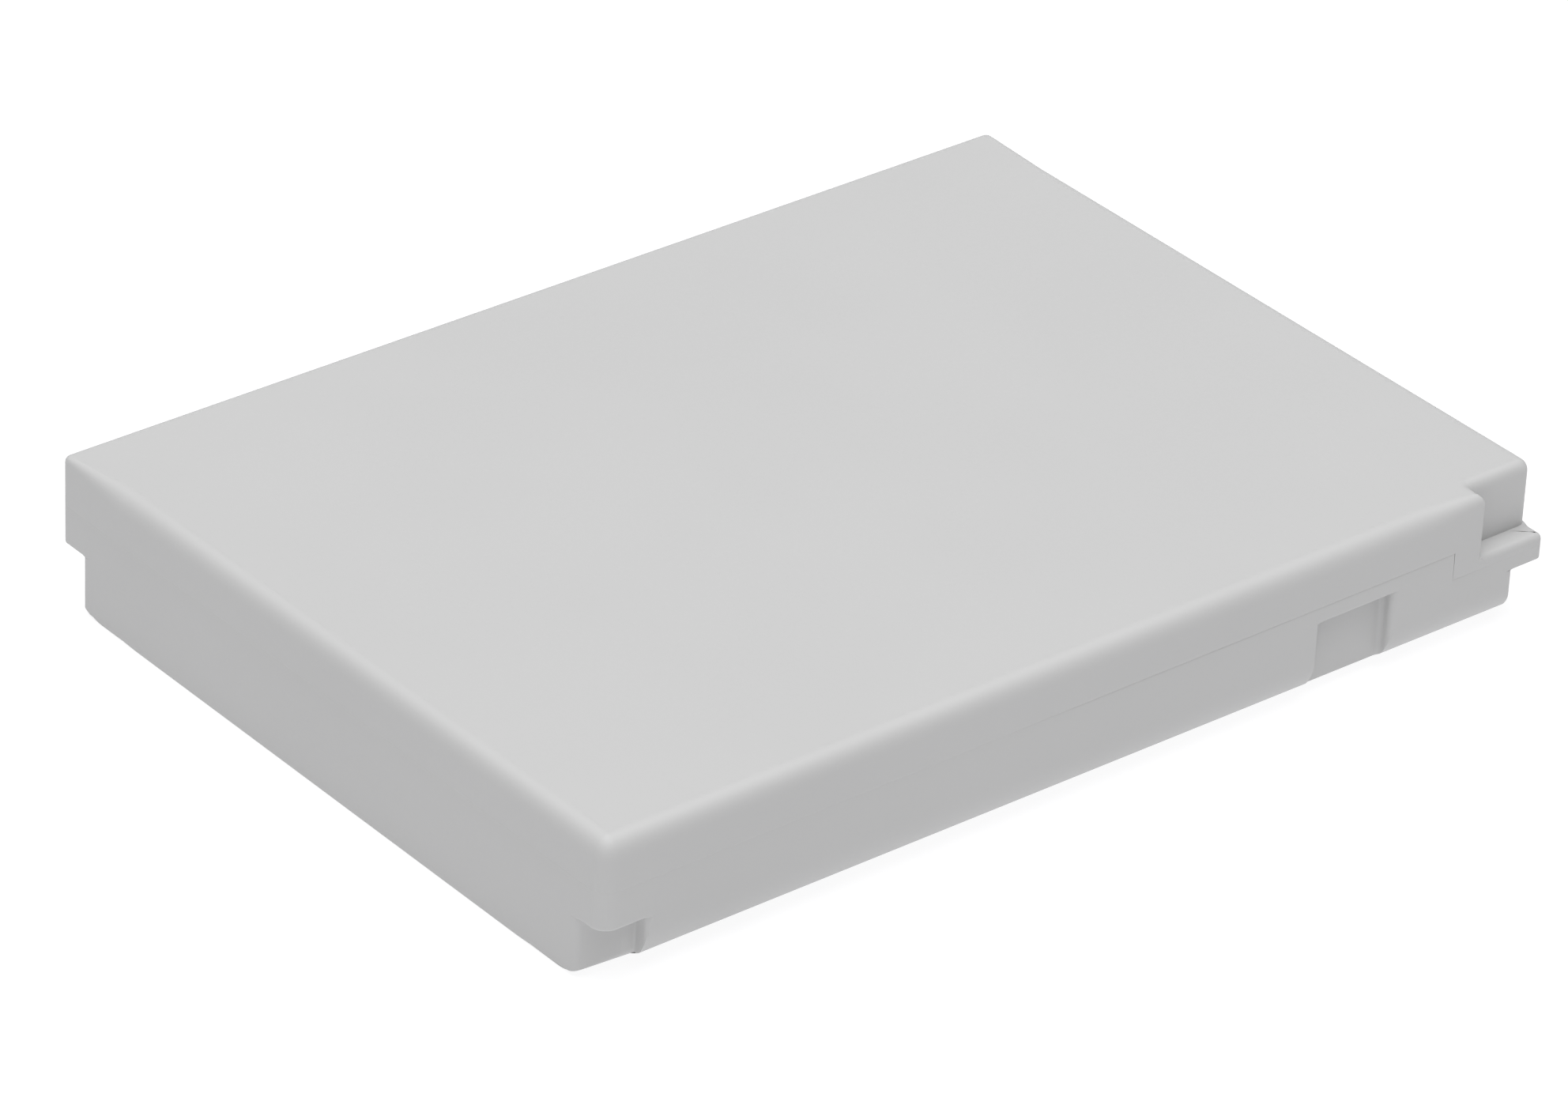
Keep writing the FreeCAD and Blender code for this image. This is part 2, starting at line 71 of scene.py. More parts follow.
def roundedPath(corners, radii, inset):
    # straight runs joined by arcs, all moved in by inset; an arc starts r tan(angle / 2) before its corner,
    # point = centre - r side cos a + r heading sin a; the outward normal is the heading turned right
    corners = np.array(corners, float)
    runs = np.diff(corners, axis=0)
    heading = runs / np.linalg.norm(runs, axis=1, keepdims=True)
    facing = np.column_stack([heading[:, 1], -heading[:, 0]])
    between = (facing[:-1] * facing[1:]).sum(axis=1, keepdims=True)
    inward = np.vstack([facing[:1], (facing[:-1] + facing[1:]) / (1 + between), facing[-1:]])
    corners = corners - inset * inward
    # bend is 1 at an outside corner and -1 at an inside one
    bend = np.sign(heading[:-1, 0] * heading[1:, 1] - heading[:-1, 1] * heading[1:, 0])
    radii = np.maximum(np.array(radii, float) - inset * bend, meshDetail["leastRadius"])[:, None, None]
    angle = np.arccos(between)[:, :, None]
    before = heading[:-1, None, :]
    side = -facing[:-1, None, :] * bend[:, None, None]
    turn = np.linspace(0, 1, meshDetail["arcParts"] + 1)[None, :, None] * angle
    arcs = corners[1:-1, None, :] - radii * np.tan(angle / 2) * before + radii * side
    arcs = arcs + radii * (before * np.sin(turn) - side * np.cos(turn))
    along = before * np.cos(turn) + side * np.sin(turn)
    points = np.vstack([corners[:1], arcs.reshape(-1, 2), corners[-1:]])
    headings = np.vstack([heading[:1], along.reshape(-1, 2), heading[-1:]])
    return points, np.column_stack([headings[:, 1], -headings[:, 0]])


def evenly(parts):
    # shares that cut a run into equal parts
    return np.linspace(0, 1, parts + 1)


def matchPaths(paths, extra=(), lead=0, tail=0):
    # each path gets a point at every share of its length where any path, or extra, has one;
    # a point is kept as the corner or arc point before it and its share of the way to the next;
    # the first lead and the last tail mm count for pinShare each, so there the paths run side by side
    lengths = []
    for corners, radii in paths:
        steps = np.linalg.norm(np.diff(roundedPath(corners, radii, 0)[0], axis=0), axis=1)
        lengths.append(np.concatenate([[0], np.cumsum(steps)]))
    pin = meshDetail["pinShare"]
    marks = [0, pin, 1 - pin, 1] if lead else [0, 1]
    pins = [[0, lead, length[-1] - tail, length[-1]] if lead else [0, length[-1]] for length in lengths]
    shares = [np.interp(length, places, marks) for length, places in zip(lengths, pins)]
    every = np.concatenate(shares + [np.array(extra, float)])
    every = np.unique(np.round(every, meshDetail["shareDigits"]))
    matched = []
    for (corners, radii), length, places in zip(paths, lengths, pins):
        place = np.interp(np.interp(every, marks, places), length, np.arange(len(length)))
        low = np.minimum(place.astype(int), len(length) - 2)
        matched.append((corners, radii, low, (place - low)[:, None], False))
    return matched


def mirrorRun(run):
    # the same stretch on the other long side, walked the other way round
    return [path[:4] + (True,) for path in run]


def joinRuns(runs):
    # outlines all round, one of each kind, and the heights that come with each run, repeated at its points
    stretches, *heights = zip(*runs)
    counts = [len(stretch[0][2]) for stretch in stretches]
    return list(zip(*stretches)), [np.repeat(height, counts) for height in heights]


def outlineAt(outline, inset):
    # points and outward normals of an outline, all round, moved in by inset
    places = []
    facings = []
    for corners, radii, low, share, mirrored in outline:
        points, normals = roundedPath(corners, radii, inset)
        place = points[low] + (points[low + 1] - points[low]) * share
        facing = normals[low] + (normals[low + 1] - normals[low]) * share
        facing = facing / np.linalg.norm(facing, axis=1, keepdims=True)
        turn = np.array([1.0, -1.0]) if mirrored else np.ones(2)
        order = slice(None, None, -1) if mirrored else slice(None)
        places.append((place * turn)[order])
        facings.append((facing * turn)[order])
    return np.vstack(places), np.vstack(facings)


def ring(outline, inset, height):
    # an outline at a height; one inset moves it in as a whole, one per point moves it along its normals
    if np.ndim(inset) == 0:
        flat = outlineAt(outline, inset)[0]
    else:
        points, normals = outlineAt(outline, 0)
        flat = points - normals * np.reshape(inset, (-1, 1))
    return np.column_stack([flat, np.broadcast_to(height, len(flat))])


def loftShell(name, rings, openQuads=None, extra=np.zeros((0, 4, 3))):
    # quads between neighbouring rings, a face on the first and the last ring, and loose extra quads
    rings = np.array(rings)
    count, size = rings.shape[:2]
    index = np.arange(count * size).reshape(count, size)
    after = np.roll(index, -1, axis=1)
    quads = np.stack([index[:-1], after[:-1], after[1:], index[1:]], axis=-1)
    quads = quads.reshape(-1, 4) if openQuads is None else quads[~openQuads]
    points = np.vstack([rings.reshape(-1, 3), extra.reshape(-1, 3)])
    more = np.arange(count * size, len(points)).reshape(-1, 4)
    faces = quads.tolist() + more.tolist() + [index[0].tolist(), index[-1].tolist()]
    mesh = bpy.data.meshes.new(name)
    mesh.from_pydata(points * mm, [], faces)
    weld = meshDetail["weld"] * mm
    shell = bmesh.new()
    shell.from_mesh(mesh)
    bmesh.ops.remove_doubles(shell, verts=shell.verts, dist=weld)
    bmesh.ops.dissolve_degenerate(shell, dist=weld, edges=shell.edges)
    bmesh.ops.recalc_face_normals(shell, faces=shell.faces)
    shell.to_mesh(mesh)
    shell.free()
    mesh.polygons.foreach_set("use_smooth", np.ones(len(mesh.polygons), bool))
    mesh.set_sharp_from_angle(angle=math.radians(meshDetail["sharpAngle"]))
    piece = bpy.data.objects.new(name, mesh)
    bpy.context.scene.collection.objects.link(piece)
    print("pager battery:", name, len(mesh.polygons), "faces")
    return piece


# the case: sizes in mm that both shells share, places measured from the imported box

coverLow, coverHigh = [np.array(corner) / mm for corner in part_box("top_cover")]
left, front = coverLow[:2]
right, back, top = coverHigh
caseShape = {
    "seamDepth": 2.34,      # parting line, below the top
    "seamDrop": 1.3,        # how far the parting line steps down towards the right end
    "dropLength": 5.25,     # the lower stretch, from the right end
    "cornerRadius": 0.8,    # left front corner
    "backCornerRadius": 0.35,
    "lowCornerRadius": 0.25,    # flange corner below the key notch
    "grooveHeight": 0.06,   # bevel of each shell's edge along the parting line
    "grooveDepth": 0.025,
    "faintGroove": 0.05,    # share of it where the two shells meet almost flush
    "grooveOpens": (-6, 2),     # x where it opens, and where it closes again
    "grooveCloses": (19, 22.5),
    "stepGap": 0.01,        # half the gap at the parting line's upright step
}
seam = top - caseShape["seamDepth"]
lowSeam = seam - caseShape["seamDrop"]
drop = right - caseShape["dropLength"]


def ease(values, start, stop):
    # 0 before start, 1 after stop, 3 s^2 - 2 s^3 between them
    share = np.clip((values - start) / (stop - start), 0, 1)
    return share * share * (3 - 2 * share)


def grooveAlong(points):
    # depth and height of the groove at each point
    x = points[:, 0]
    share = ease(x, *caseShape["grooveOpens"]) * (1 - ease(x, *caseShape["grooveCloses"]))
    share = caseShape["faintGroove"] + (1 - caseShape["faintGroove"]) * share
    return caseShape["grooveDepth"] * share, caseShape["grooveHeight"] * share


# upper shell

coverShape = {
    "topRound": (0.79, 0.95),   # rounding of the top edge, in from the side and down the wall
    "backRound": (0.28, 0.28),  # the same along the back, which is crisper
    "backFrom": (15, 18.2),     # y where the one turns into the other
    "rightFrom": (18.5, 21.5),  # x where the edges turn crisper by the share below
    "rightShare": 0.6,
    "wall": 0.8,
    "sideWall": 0.75,
    "endWall": 0.55,
    "hollowRadius": 0.4,    # corners of the hollow
    "notchLength": 3.6,     # key notch at the right front corner
    "notchDepth": 1.05,
    "notchWall": 0.8,
    "notchEdge": 0.25,      # rounding of the notch's upright edges
    "notchInside": 0.12,
    "notchCorner": 0.5,
    "blockRadii": (0.1, 0.1, 0.3),  # corners of the hollow behind the notch
    "ledgeThickness": 0.55,     # flange left under the notch, above the parting line
    "ledgeRadius": 0.3,
    "guard": 0.08,          # flat strip kept beside each rounding
    "margin": 0.05,         # straight stretch before a notch's first rounding
    "cornerRun": (5, 4),    # stretch of outline that goes with a corner, along x and y
    "notchRun": 0.4,        # and with the notch, before the wall behind it
    "longParts": 40,        # straight stretches are cut into so many parts
    "endParts": 20,
    "notchParts": 6,
}


def coverRuns():
    # stretches all round from the left front corner, each with the heights of its lower edge and its ledge;
    # a stretch has three outlines, matched point by point: under the notch, above the ledge, and the hollow
    s = coverShape
    notchLeft = right - s["notchLength"]
    notchBack = front + s["notchDepth"]
    hollowLeft = left + s["endWall"]
    hollowRight = right - s["sideWall"]
    hollowFront = front + s["sideWall"]
    blockLeft = notchLeft - s["notchWall"]
    blockBack = notchBack + s["notchWall"]
    xStart = left + s["cornerRun"][0]
    yStart = front + s["cornerRun"][1]
    short = caseShape["stepGap"]
    dropX = drop + short
    notchX = blockLeft - s["notchRun"]
    lead = notchLeft - s["notchEdge"] - s["margin"] - notchX    # before the outside parts at the notch
    tail = yStart - notchBack - s["notchCorner"] - s["margin"]  # and after it joins again
    pin = meshDetail["pinShare"]
    backRadius = caseShape["backCornerRadius"]
    insideRadii = [s["hollowRadius"]]

    def run(corners, radii, hollowCorners, hollowRadii, extra=()):
        # away from the notch, where the outside is one line from edge to top
        return matchPaths([(corners, radii), (corners, radii), (hollowCorners, hollowRadii)], extra)

    def leftCorner(radius):
        return run([(left, yStart), (left, front), (xStart, front)], [radius],
                   [(hollowLeft, yStart), (hollowLeft, hollowFront), (xStart, hollowFront)], insideRadii)

    longSide = run([(xStart, front), (dropX, front)], [],
                   [(xStart, hollowFront), (dropX, hollowFront)], [], evenly(s["longParts"]))
    beforeNotch = run([(dropX, front), (notchX - short, front)], [],
                      [(dropX, hollowFront), (notchX, hollowFront)], [])
    notch = matchPaths([
        ([(notchX, front), (right, front), (right, yStart)], [caseShape["lowCornerRadius"]]),
        ([(notchX, front), (notchLeft, front), (notchLeft, notchBack), (right, notchBack),
          (right, yStart)], [s["notchEdge"], s["notchInside"], s["notchCorner"]]),
        ([(notchX, hollowFront), (blockLeft, hollowFront), (blockLeft, blockBack),
          (hollowRight, blockBack), (hollowRight, yStart)], s["blockRadii"])],
        [*(pin * evenly(s["notchParts"])), 1 - pin], lead, tail)
    rightSide = run([(right, yStart + short), (right, -yStart)], [],
                    [(hollowRight, yStart), (hollowRight, -yStart)], [], evenly(s["endParts"]))
    rightCorner = run([(right, -yStart), (right, back), (dropX, back)], [backRadius],
                      [(hollowRight, -yStart), (hollowRight, -hollowFront), (dropX, -hollowFront)],
                      insideRadii)
    leftSide = run([(left, -yStart), (left, yStart)], [],
                   [(hollowLeft, -yStart), (hollowLeft, yStart)], [], evenly(s["endParts"]))
    return [
        (leftCorner(caseShape["cornerRadius"]), seam, 0),
        (longSide, seam, 0),
        (beforeNotch, lowSeam, 0),
        (notch, lowSeam, lowSeam + s["ledgeThickness"]),
        (rightSide, lowSeam, 0),
        (rightCorner, lowSeam, 0),
        (mirrorRun(longSide), seam, 0),
        (mirrorRun(leftCorner(backRadius)), seam, 0),
        (leftSide, seam, 0),
    ]


def coverPiece():
    # rings from the hollow's ceiling down its wall, under the edge, up the outside and in over the top
    s = coverShape
    (outer, upper, hollow), (bottom, ledge) = joinRuns(coverRuns())
    outerAt = outlineAt(outer, 0)[0]
    upperAt = outlineAt(upper, 0)[0]
    groove, grooveHeight = grooveAlong(outerAt)
    edge = bottom + grooveHeight
    depth = np.linalg.norm(outerAt - upperAt, axis=1)   # of the notch
    ledgeRound = np.minimum(s["ledgeRadius"], meshDetail["roundShare"] * depth)
    ledgeFoot = np.where(ledge > 0, ledge - ledgeRound, edge)
    ledgeTop = np.where(ledge > 0, ledge, edge)
    crisp = np.maximum(ease(outerAt[:, 1], *s["backFrom"]),
                       s["rightShare"] * ease(upperAt[:, 0], *s["rightFrom"]))
    lean = s["topRound"][1] + (s["backRound"][1] - s["topRound"][1]) * crisp

    def topRing(a, beyond=0):
        # inset w (1 - cos a), height top - h (1 - sin a), between the soft and the crisp rounding
        soft, hard = [ring(upper, wide * (1 - math.cos(a)) + beyond, top - high * (1 - math.sin(a)))
                      for wide, high in (s["topRound"], s["backRound"])]
        return soft + (hard - soft) * crisp[:, None]

    rings = [ring(hollow, 0, top - s["wall"]), ring(hollow, 0, seam), ring(hollow, 0, bottom),
             ring(outer, groove, bottom), ring(outer, 0, edge)]
    rings += [ring(outer, ledgeRound * (1 - math.cos(a)), ledgeFoot + ledgeRound * math.sin(a))
              for a in smallQuarter]
    rings += [ring(upper, 0, ledgeTop), ring(upper, 0, seam + grooveHeight),
              ring(upper, 0, seam + grooveHeight + s["guard"]), ring(upper, 0, top - lean - s["guard"])]
    rings += [topRing(a) for a in quarter]
    rings += [topRing(quarter[-1], s["guard"])]
    return loftShell("case_cover", rings)


# lower shell

trayShape = {
    "bellyStart": 2.39,     # long lower edges: the wall bends in below this height, with this radius,
    "bellyRadius": 2.9,
    "bellyEdge": 0.48,      # as far as this edge, and a slope goes on from there to the flat
    "bellyEdgeRadius": 0.4,
    "bellyWidth": 2.2,
    "bellyFoot": 0.6,       # reach of the rounding where the slope meets the flat
    "bellyRise": 0.17,      # share by which these heights grow to the left end and shrink to the right
    "floor": 0.8,
    "sideWall": 1.3,
    "endWall": 1.1,
    "cavityRadius": 1.2,    # long lower edges of the cavity
    "cavityEndRadius": 0.3,     # upright corners at its right end
    "rimHeight": 0.6,       # locating rim inside the cover
    "rimThickness": 0.5,
    "rimStep": 0.05,        # rim's inner face, outside the cavity wall
    "rimRadius": 0.3,       # its corners, outside and inside
    "rimInsideRadius": 0.2,
    "endStep": 1.5,         # right end wall, set back under the flange
    "endEdge": 0.5,
    "flangeFoot": 0.7,      # flange's underside, below the lower parting line
    "guideLength": 2.35,    # corner notches at the left end
    "guideDepth": 0.8,      # at their inner end, and at the left end
    "guideMouth": 1.6,
    "guideFoot": 0.3,       # rounding of their wall's lower edge, at the inner end
    "guideBelowSeam": 1.85,
    "guideWall": 1.0,       # case wall left behind them, along x and y
    "guideEndWall": 0.7,
    "blockRadii": (0.2, 0.2, 0.2),  # corners of the cavity behind them
    "guideRadius": 0.36,    # upright edge at the front notch's mouth, and the edge above that notch
    "guideLip": 0.2,
    "backGuideRadius": 0.2,     # upright edge at the back notch's mouth, which is crisper
    "guideEdge": 0.3,
    "inside": 0.12,         # rounding in the notches' inner corners
    "margin": 0.05,         # straight stretch before a notch's first rounding
    "latchFromEnd": 8.7,    # latch recess in the front side
    "latchLength": 4.25,
    "latchDepth": 0.65,
    "latchBelowSeam": 0.75,
    "latchLeftEdge": 0.06,
    "latchRightEdge": 0.3,
    "latchInside": 0.25,    # rounding in its right inner corner
    "lip": 0.1,             # rounding of the edges above the back notch, the recess and the step
    "leftFoot": 0.08,       # rounding of the lower end edges
    "rightFoot": 0.12,
    "windowWidth": 3.0,     # contact windows in the right end wall
    "windowSpacing": 5.0,
    "windowLow": 0.95,
    "windowHigh": 2.51,
    "windowBevel": 0.08,
    "insideRun": (5.4, 4.5),    # stretch of the inner outlines that goes with a left corner, along x and y
    "insideEndRun": (0.8, 1.2),     # and with a right corner
    "windowRun": 1.0,       # from there to where points inside and outside face each other
    "bellyParts": 24,       # rounded and straight stretches are cut into so many parts
    "bendParts": 5,
    "frontParts": 32,
    "backParts": 40,
    "latchParts": 6,
    "dropParts": 8,
    "leftParts": 10,
}
trayEnd = right - trayShape["endStep"]
cavityRight = trayEnd - trayShape["endWall"]
cavityFront = front + trayShape["sideWall"]
guideTop = seam - trayShape["guideBelowSeam"]
windowMiddles = np.array([-1, 0, 1]) * trayShape["windowSpacing"]
windowHalf = trayShape["windowWidth"] / 2
windowMouth = windowHalf + trayShape["windowBevel"]     # half the width at the outer face


def quarterProfile(radius):
    # inset r (1 - cos a) and height r (1 - sin a) of a quarter-round, from the wall to the flat
    return radius * (1 - np.cos(quarter)), radius * (1 - np.sin(quarter))


def bellyProfile():
    # an arc off the wall, start - sqrt(R^2 - (R - inset)^2), then a straight slope down to the flat;
    # a parabola, corner - reach before (1 - t)^2 + reach after t^2, rounds off both ends of the slope
    s = trayShape
    radius = s["bellyRadius"]
    inset = evenly(s["bellyParts"]) ** 2 * s["bellyEdge"]
    height = s["bellyStart"] - np.sqrt(radius ** 2 - (radius - inset) ** 2)
    edge = np.array([inset[-1], height[-1]])
    foot = np.array([s["bellyWidth"], 0])
    steep = np.array([s["bellyStart"] - edge[1], edge[0] - radius]) / radius
    slope = (foot - edge) / np.linalg.norm(foot - edge)
    flat = np.array([1, 0])
    edgeReach = s["bellyEdgeRadius"] * math.tan(math.acos(np.dot(slope, steep)) / 2)
    ends = ((edge, steep, slope, edgeReach), (foot, slope, flat, s["bellyFoot"]))
    share = evenly(s["bendParts"])[:, None]
    bends = [corner - reach * before * (1 - share) ** 2 + reach * after * share ** 2
             for corner, before, after, reach in ends]
    kept = inset < bends[0][0, 0] - meshDetail["leastStep"]
    return tuple(np.vstack([np.column_stack([inset, height])[kept], *bends]).T)


def bellyHeight(points, side, profile, rise):
    # height of the profile at places on the case, times 1 - rise x / half length
    return np.interp(side - np.abs(points[:, 1]), *profile) * (1 - rise * points[:, 0] / right)


def bellyRings(base, side, profile, rise, floor):
    # the ring is drawn in to each inset of the profile, and follows the profile down to the flat
    rings = []
    for inset in profile[0]:
        place = np.column_stack([base[:, 0], np.clip(base[:, 1], inset - side, side - inset)])
        rings.append(np.column_stack([place, floor + bellyHeight(place, side, profile, rise)]))
    return rings


def trayRuns():
    # stretches all round from the left front corner, each with the heights of its upper edge and of the
    # step over its notch, recess or set-back wall; a stretch has five outlines, matched point by point:
    # outside above the step, outside below it, cavity, rim outside and rim inside
    s = trayShape
    short = caseShape["stepGap"]
    dropX = drop - short
    cavityLeft = left + s["endWall"]
    rimLeft = cavityLeft - s["rimThickness"]
    rimFront = cavityFront - s["rimThickness"]
    rimInsideX = cavityLeft - s["rimStep"]
    rimInsideY = cavityFront - s["rimStep"]
    frontLevels = (front, front, cavityFront, rimFront, rimInsideY)
    leftLevels = (left, left, cavityLeft, rimLeft, rimInsideX)
    endLevels = (right, trayEnd, cavityRight, cavityRight, cavityRight)
    guideRight = left + s["guideLength"]
    guideFront = front + s["guideDepth"]
    guideMouth = front + s["guideMouth"]
    blockRight = guideRight + s["guideWall"]
    blockFront = guideMouth + s["guideEndWall"]
    latchRight = right - s["latchFromEnd"]
    latchLeft = latchRight - s["latchLength"]
    latchBack = front + s["latchDepth"]
    guideX = guideRight + s["guideEdge"] + s["margin"]      # where the outside parts into lip and notch
    guideY = guideMouth + s["guideRadius"] + s["margin"]
    insideX = left + s["insideRun"][0]
    insideY = front + s["insideRun"][1]
    latchStart = latchLeft - s["latchLeftEdge"] - s["margin"]
    latchStop = latchRight + s["latchRightEdge"] + s["margin"]
    endX = trayEnd - s["endEdge"] - s["margin"]
    endY = front + s["endEdge"] + s["margin"]
    insideEndX = cavityRight - s["insideEndRun"][0]
    insideEndY = cavityFront + s["insideEndRun"][1]
    windowY = insideEndY + s["windowRun"]

    def straight(outside, inside, parts):
        # along the front, where the outer two outlines stop short of the notches beside them
        outside = (outside[0] + short, outside[1] - short)
        spans = zip(frontLevels, [outside] * 2 + [inside] * 3)
        return matchPaths([([(start, y), (stop, y)], []) for y, (start, stop) in spans], evenly(parts))

    def across(outside, inside, levels, extra=()):
        # across an end
        spans = zip(levels, [outside] * 2 + [inside] * 3)
        return matchPaths([([(x, start), (x, stop)], []) for x, (start, stop) in spans], extra)

    def guide(corner, mouth):
        # a left corner and the notch under it; corner and mouth are radii
        return matchPaths([
            ([(left, guideY), (left, front), (guideX, front)], [corner]),
            ([(left, guideY), (left, guideMouth), (guideRight, guideFront), (guideRight, front),
              (guideX, front)], [mouth, s["inside"], s["guideEdge"]]),
            ([(cavityLeft, insideY), (cavityLeft, blockFront), (blockRight, blockFront),
              (blockRight, cavityFront), (insideX, cavityFront)], s["blockRadii"]),
            ([(rimLeft, insideY), (rimLeft, rimFront), (insideX, rimFront)], [s["rimRadius"]]),
            ([(rimInsideX, insideY), (rimInsideX, rimInsideY), (insideX, rimInsideY)],
             [s["rimInsideRadius"]])])

    plain = straight((guideX, latchStart), (insideX, latchStart), s["frontParts"])
    latch = [([(latchStart, y), (latchStop, y)], []) for y in frontLevels]
    latch[1] = ([(latchStart, front), (latchLeft, front), (latchLeft, latchBack), (latchRight, latchBack),
                 (latchRight, front), (latchStop, front)],
                [s["latchLeftEdge"], s["inside"], s["latchInside"], s["latchRightEdge"]])
    afterLatch = straight((latchStop, dropX), (latchStop, dropX), s["latchParts"])
    toEnd = straight((dropX, endX), (dropX, insideEndX), s["dropParts"])
    toEnd[3:] = [toEnd[2], toEnd[2]]    # the rim has ended here
    endInside = ([(insideEndX, cavityFront), (cavityRight, cavityFront), (cavityRight, insideEndY)],
                 [s["cavityEndRadius"]])
    end = matchPaths([
        ([(endX, front), (right, front), (right, endY)], [caseShape["lowCornerRadius"]]),
        ([(endX, front), (trayEnd, front), (trayEnd, endY)], [s["endEdge"]]),
        endInside, endInside, endInside])
    besideEnd = across((endY, windowY), (insideEndY, windowY), endLevels)
    windowSides = np.add.outer(windowMiddles, [-windowMouth, -windowHalf, windowHalf, windowMouth]).ravel()
    rightSide = across((windowY, -windowY), (windowY, -windowY), endLevels,
                       (windowSides - windowY) / (-2 * windowY))
    backSide = straight((guideX, dropX), (insideX, dropX), s["backParts"])
    leftSide = across((-guideY - short, guideY + short), (-insideY, insideY), leftLevels,
                      evenly(s["leftParts"]))
    flangeFoot = lowSeam - s["flangeFoot"]
    return [
        (guide(caseShape["cornerRadius"], s["guideRadius"]), seam, guideTop),
        (plain, seam, 0),
        (matchPaths(latch), seam, seam - s["latchBelowSeam"]),
        (afterLatch, seam, 0),
        (toEnd, lowSeam, 0),
        (end, lowSeam, flangeFoot),
        (besideEnd, lowSeam, flangeFoot),
        (rightSide, lowSeam, flangeFoot),
        (mirrorRun(besideEnd), lowSeam, flangeFoot),
        (mirrorRun(end), lowSeam, flangeFoot),
        (mirrorRun(toEnd), lowSeam, 0),
        (mirrorRun(backSide), seam, 0),
        (mirrorRun(guide(caseShape["backCornerRadius"], s["backGuideRadius"])), seam, guideTop),
        (leftSide, seam, 0),
    ]


def windowSleeves():
    # sides of the contact windows: eight points round each at the outer face, behind the bevel and at the
    # inner face, with quads between these loops
    s = trayShape
    grow = np.array([s["windowBevel"], 0, 0])
    zero = np.zeros(3)
    x = np.array([trayEnd, trayEnd - s["windowBevel"], cavityRight])
    y = np.stack([-windowHalf - grow, -windowHalf + zero, windowHalf + zero, windowHalf + grow])
    z = np.stack([s["windowLow"] - grow] * 4 + [s["windowHigh"] + grow] * 4)
    loop = np.stack(np.broadcast_arrays(x, np.vstack([y, y[::-1]]), z), axis=-1).transpose(1, 0, 2)
    loops = loop[None] + np.stack([zero, windowMiddles, zero], axis=-1)[:, None, None, :]
    turned = np.roll(loops, -1, axis=2)
    return np.stack([loops[:, :-1], turned[:, :-1], turned[:, 1:], loops[:, 1:]], axis=3)


def trayPiece():
    # rings from the cavity's floor up its wall, over the rim, down the outside and in under the case
    s = trayShape
    (outer, lower, cavity, rimOut, rimIn), (edgeTop, step) = joinRuns(trayRuns())
    rim = edgeTop + np.where(edgeTop == seam, s["rimHeight"], 0)
    outerAt = outlineAt(outer, 0)[0]
    lowerAt, lowerFacing = outlineAt(lower, 0)
    groove, grooveHeight = grooveAlong(outerAt)
    edge = edgeTop - grooveHeight

    # inside: floor, quarter-rounds, walls and rim
    hollow = quarterProfile(s["cavityRadius"])
    rings = bellyRings(ring(cavity, 0, 0), -cavityFront, hollow, 0, s["floor"])[::-1]
    innerFoot = s["floor"] + bellyHeight(outlineAt(cavity, 0)[0], -cavityFront, hollow, 0)
    innerRow = len(rings)
    rings += [ring(cavity, 0, np.maximum(innerFoot, z)) for z in (s["windowLow"], s["windowHigh"])]
    rings += [ring(cavity, 0, lowSeam), ring(cavity, 0, edgeTop), ring(rimIn, 0, edgeTop),
              ring(rimIn, 0, rim), ring(rimOut, 0, rim), ring(rimOut, 0, edgeTop),
              ring(outer, groove, edgeTop), ring(outer, 0, edge)]

    # outside: wall and lip over the notches
    depth = np.linalg.norm(outerAt - lowerAt, axis=1)   # of the notches, the recess and the step
    overFrontGuide = (step == guideTop) & (outerAt[:, 1] < 0)
    lip = np.where(overFrontGuide, s["guideLip"], s["lip"])
    lip = np.minimum(lip, meshDetail["roundShare"] * depth)
    stepEdge = np.where(step > 0, step + lip, edge)
    stepFoot = np.where(step > 0, step, edge)
    wallTop = np.minimum(stepFoot, lowSeam - grooveHeight)
    rings += [ring(outer, lip * (1 - math.cos(a)), stepEdge - lip * math.sin(a)) for a in smallQuarter]
    rings += [ring(lower, 0, stepFoot), ring(lower, 0, wallTop)]

    # lower wall, its rounded foot at the ends and in the notches, and the rounded long edges
    belly = bellyProfile()
    foot = np.where(lowerAt[:, 0] < left + s["guideRadius"], s["leftFoot"], 0)
    foot = np.where(lowerAt[:, 0] > trayEnd - s["endEdge"], s["rightFoot"], foot)
    onGuideWall = (step == guideTop) & (back - np.abs(lowerAt[:, 1]) > s["guideDepth"] - s["inside"])
    inner = np.where(onGuideWall, (lowerAt[:, 0] - left) / s["guideLength"], 0).clip(0, 1)
    foot = foot * np.abs(lowerFacing[:, 0]) + s["guideFoot"] * inner * np.abs(lowerFacing[:, 1])
    lowest = bellyHeight(lowerAt, back, belly, s["bellyRise"]) + foot
    outerRow = len(rings)
    rings += [ring(lower, 0, np.clip(z, lowest, wallTop))
              for z in (s["windowHigh"] + s["windowBevel"], s["windowLow"] - s["windowBevel"])]
    for a in smallQuarter:
        turned = ring(lower, foot * (1 - math.cos(a)), 0)
        turned[:, 2] = bellyHeight(turned, back, belly, s["bellyRise"]) + foot * (1 - math.sin(a))
        rings.append(turned)
    rings += bellyRings(rings[-1], back, belly, s["bellyRise"], 0)

    # contact windows: open quads in both faces of the end wall
    openings = np.zeros((len(rings) - 1, len(edgeTop)), bool)
    following = np.roll(lowerAt, -1, axis=0)
    atEnd = np.minimum(lowerAt[:, 0], following[:, 0]) > trayEnd - meshDetail["touch"]
    middle = (lowerAt[:, 1] + following[:, 1]) / 2
    away = np.abs(middle[:, None] - windowMiddles).min(axis=1)
    openings[innerRow] = atEnd & (away < windowHalf)
    openings[outerRow] = atEnd & (away < windowMouth)
    return loftShell("case_tray", rings, openings, windowSleeves())


# materials

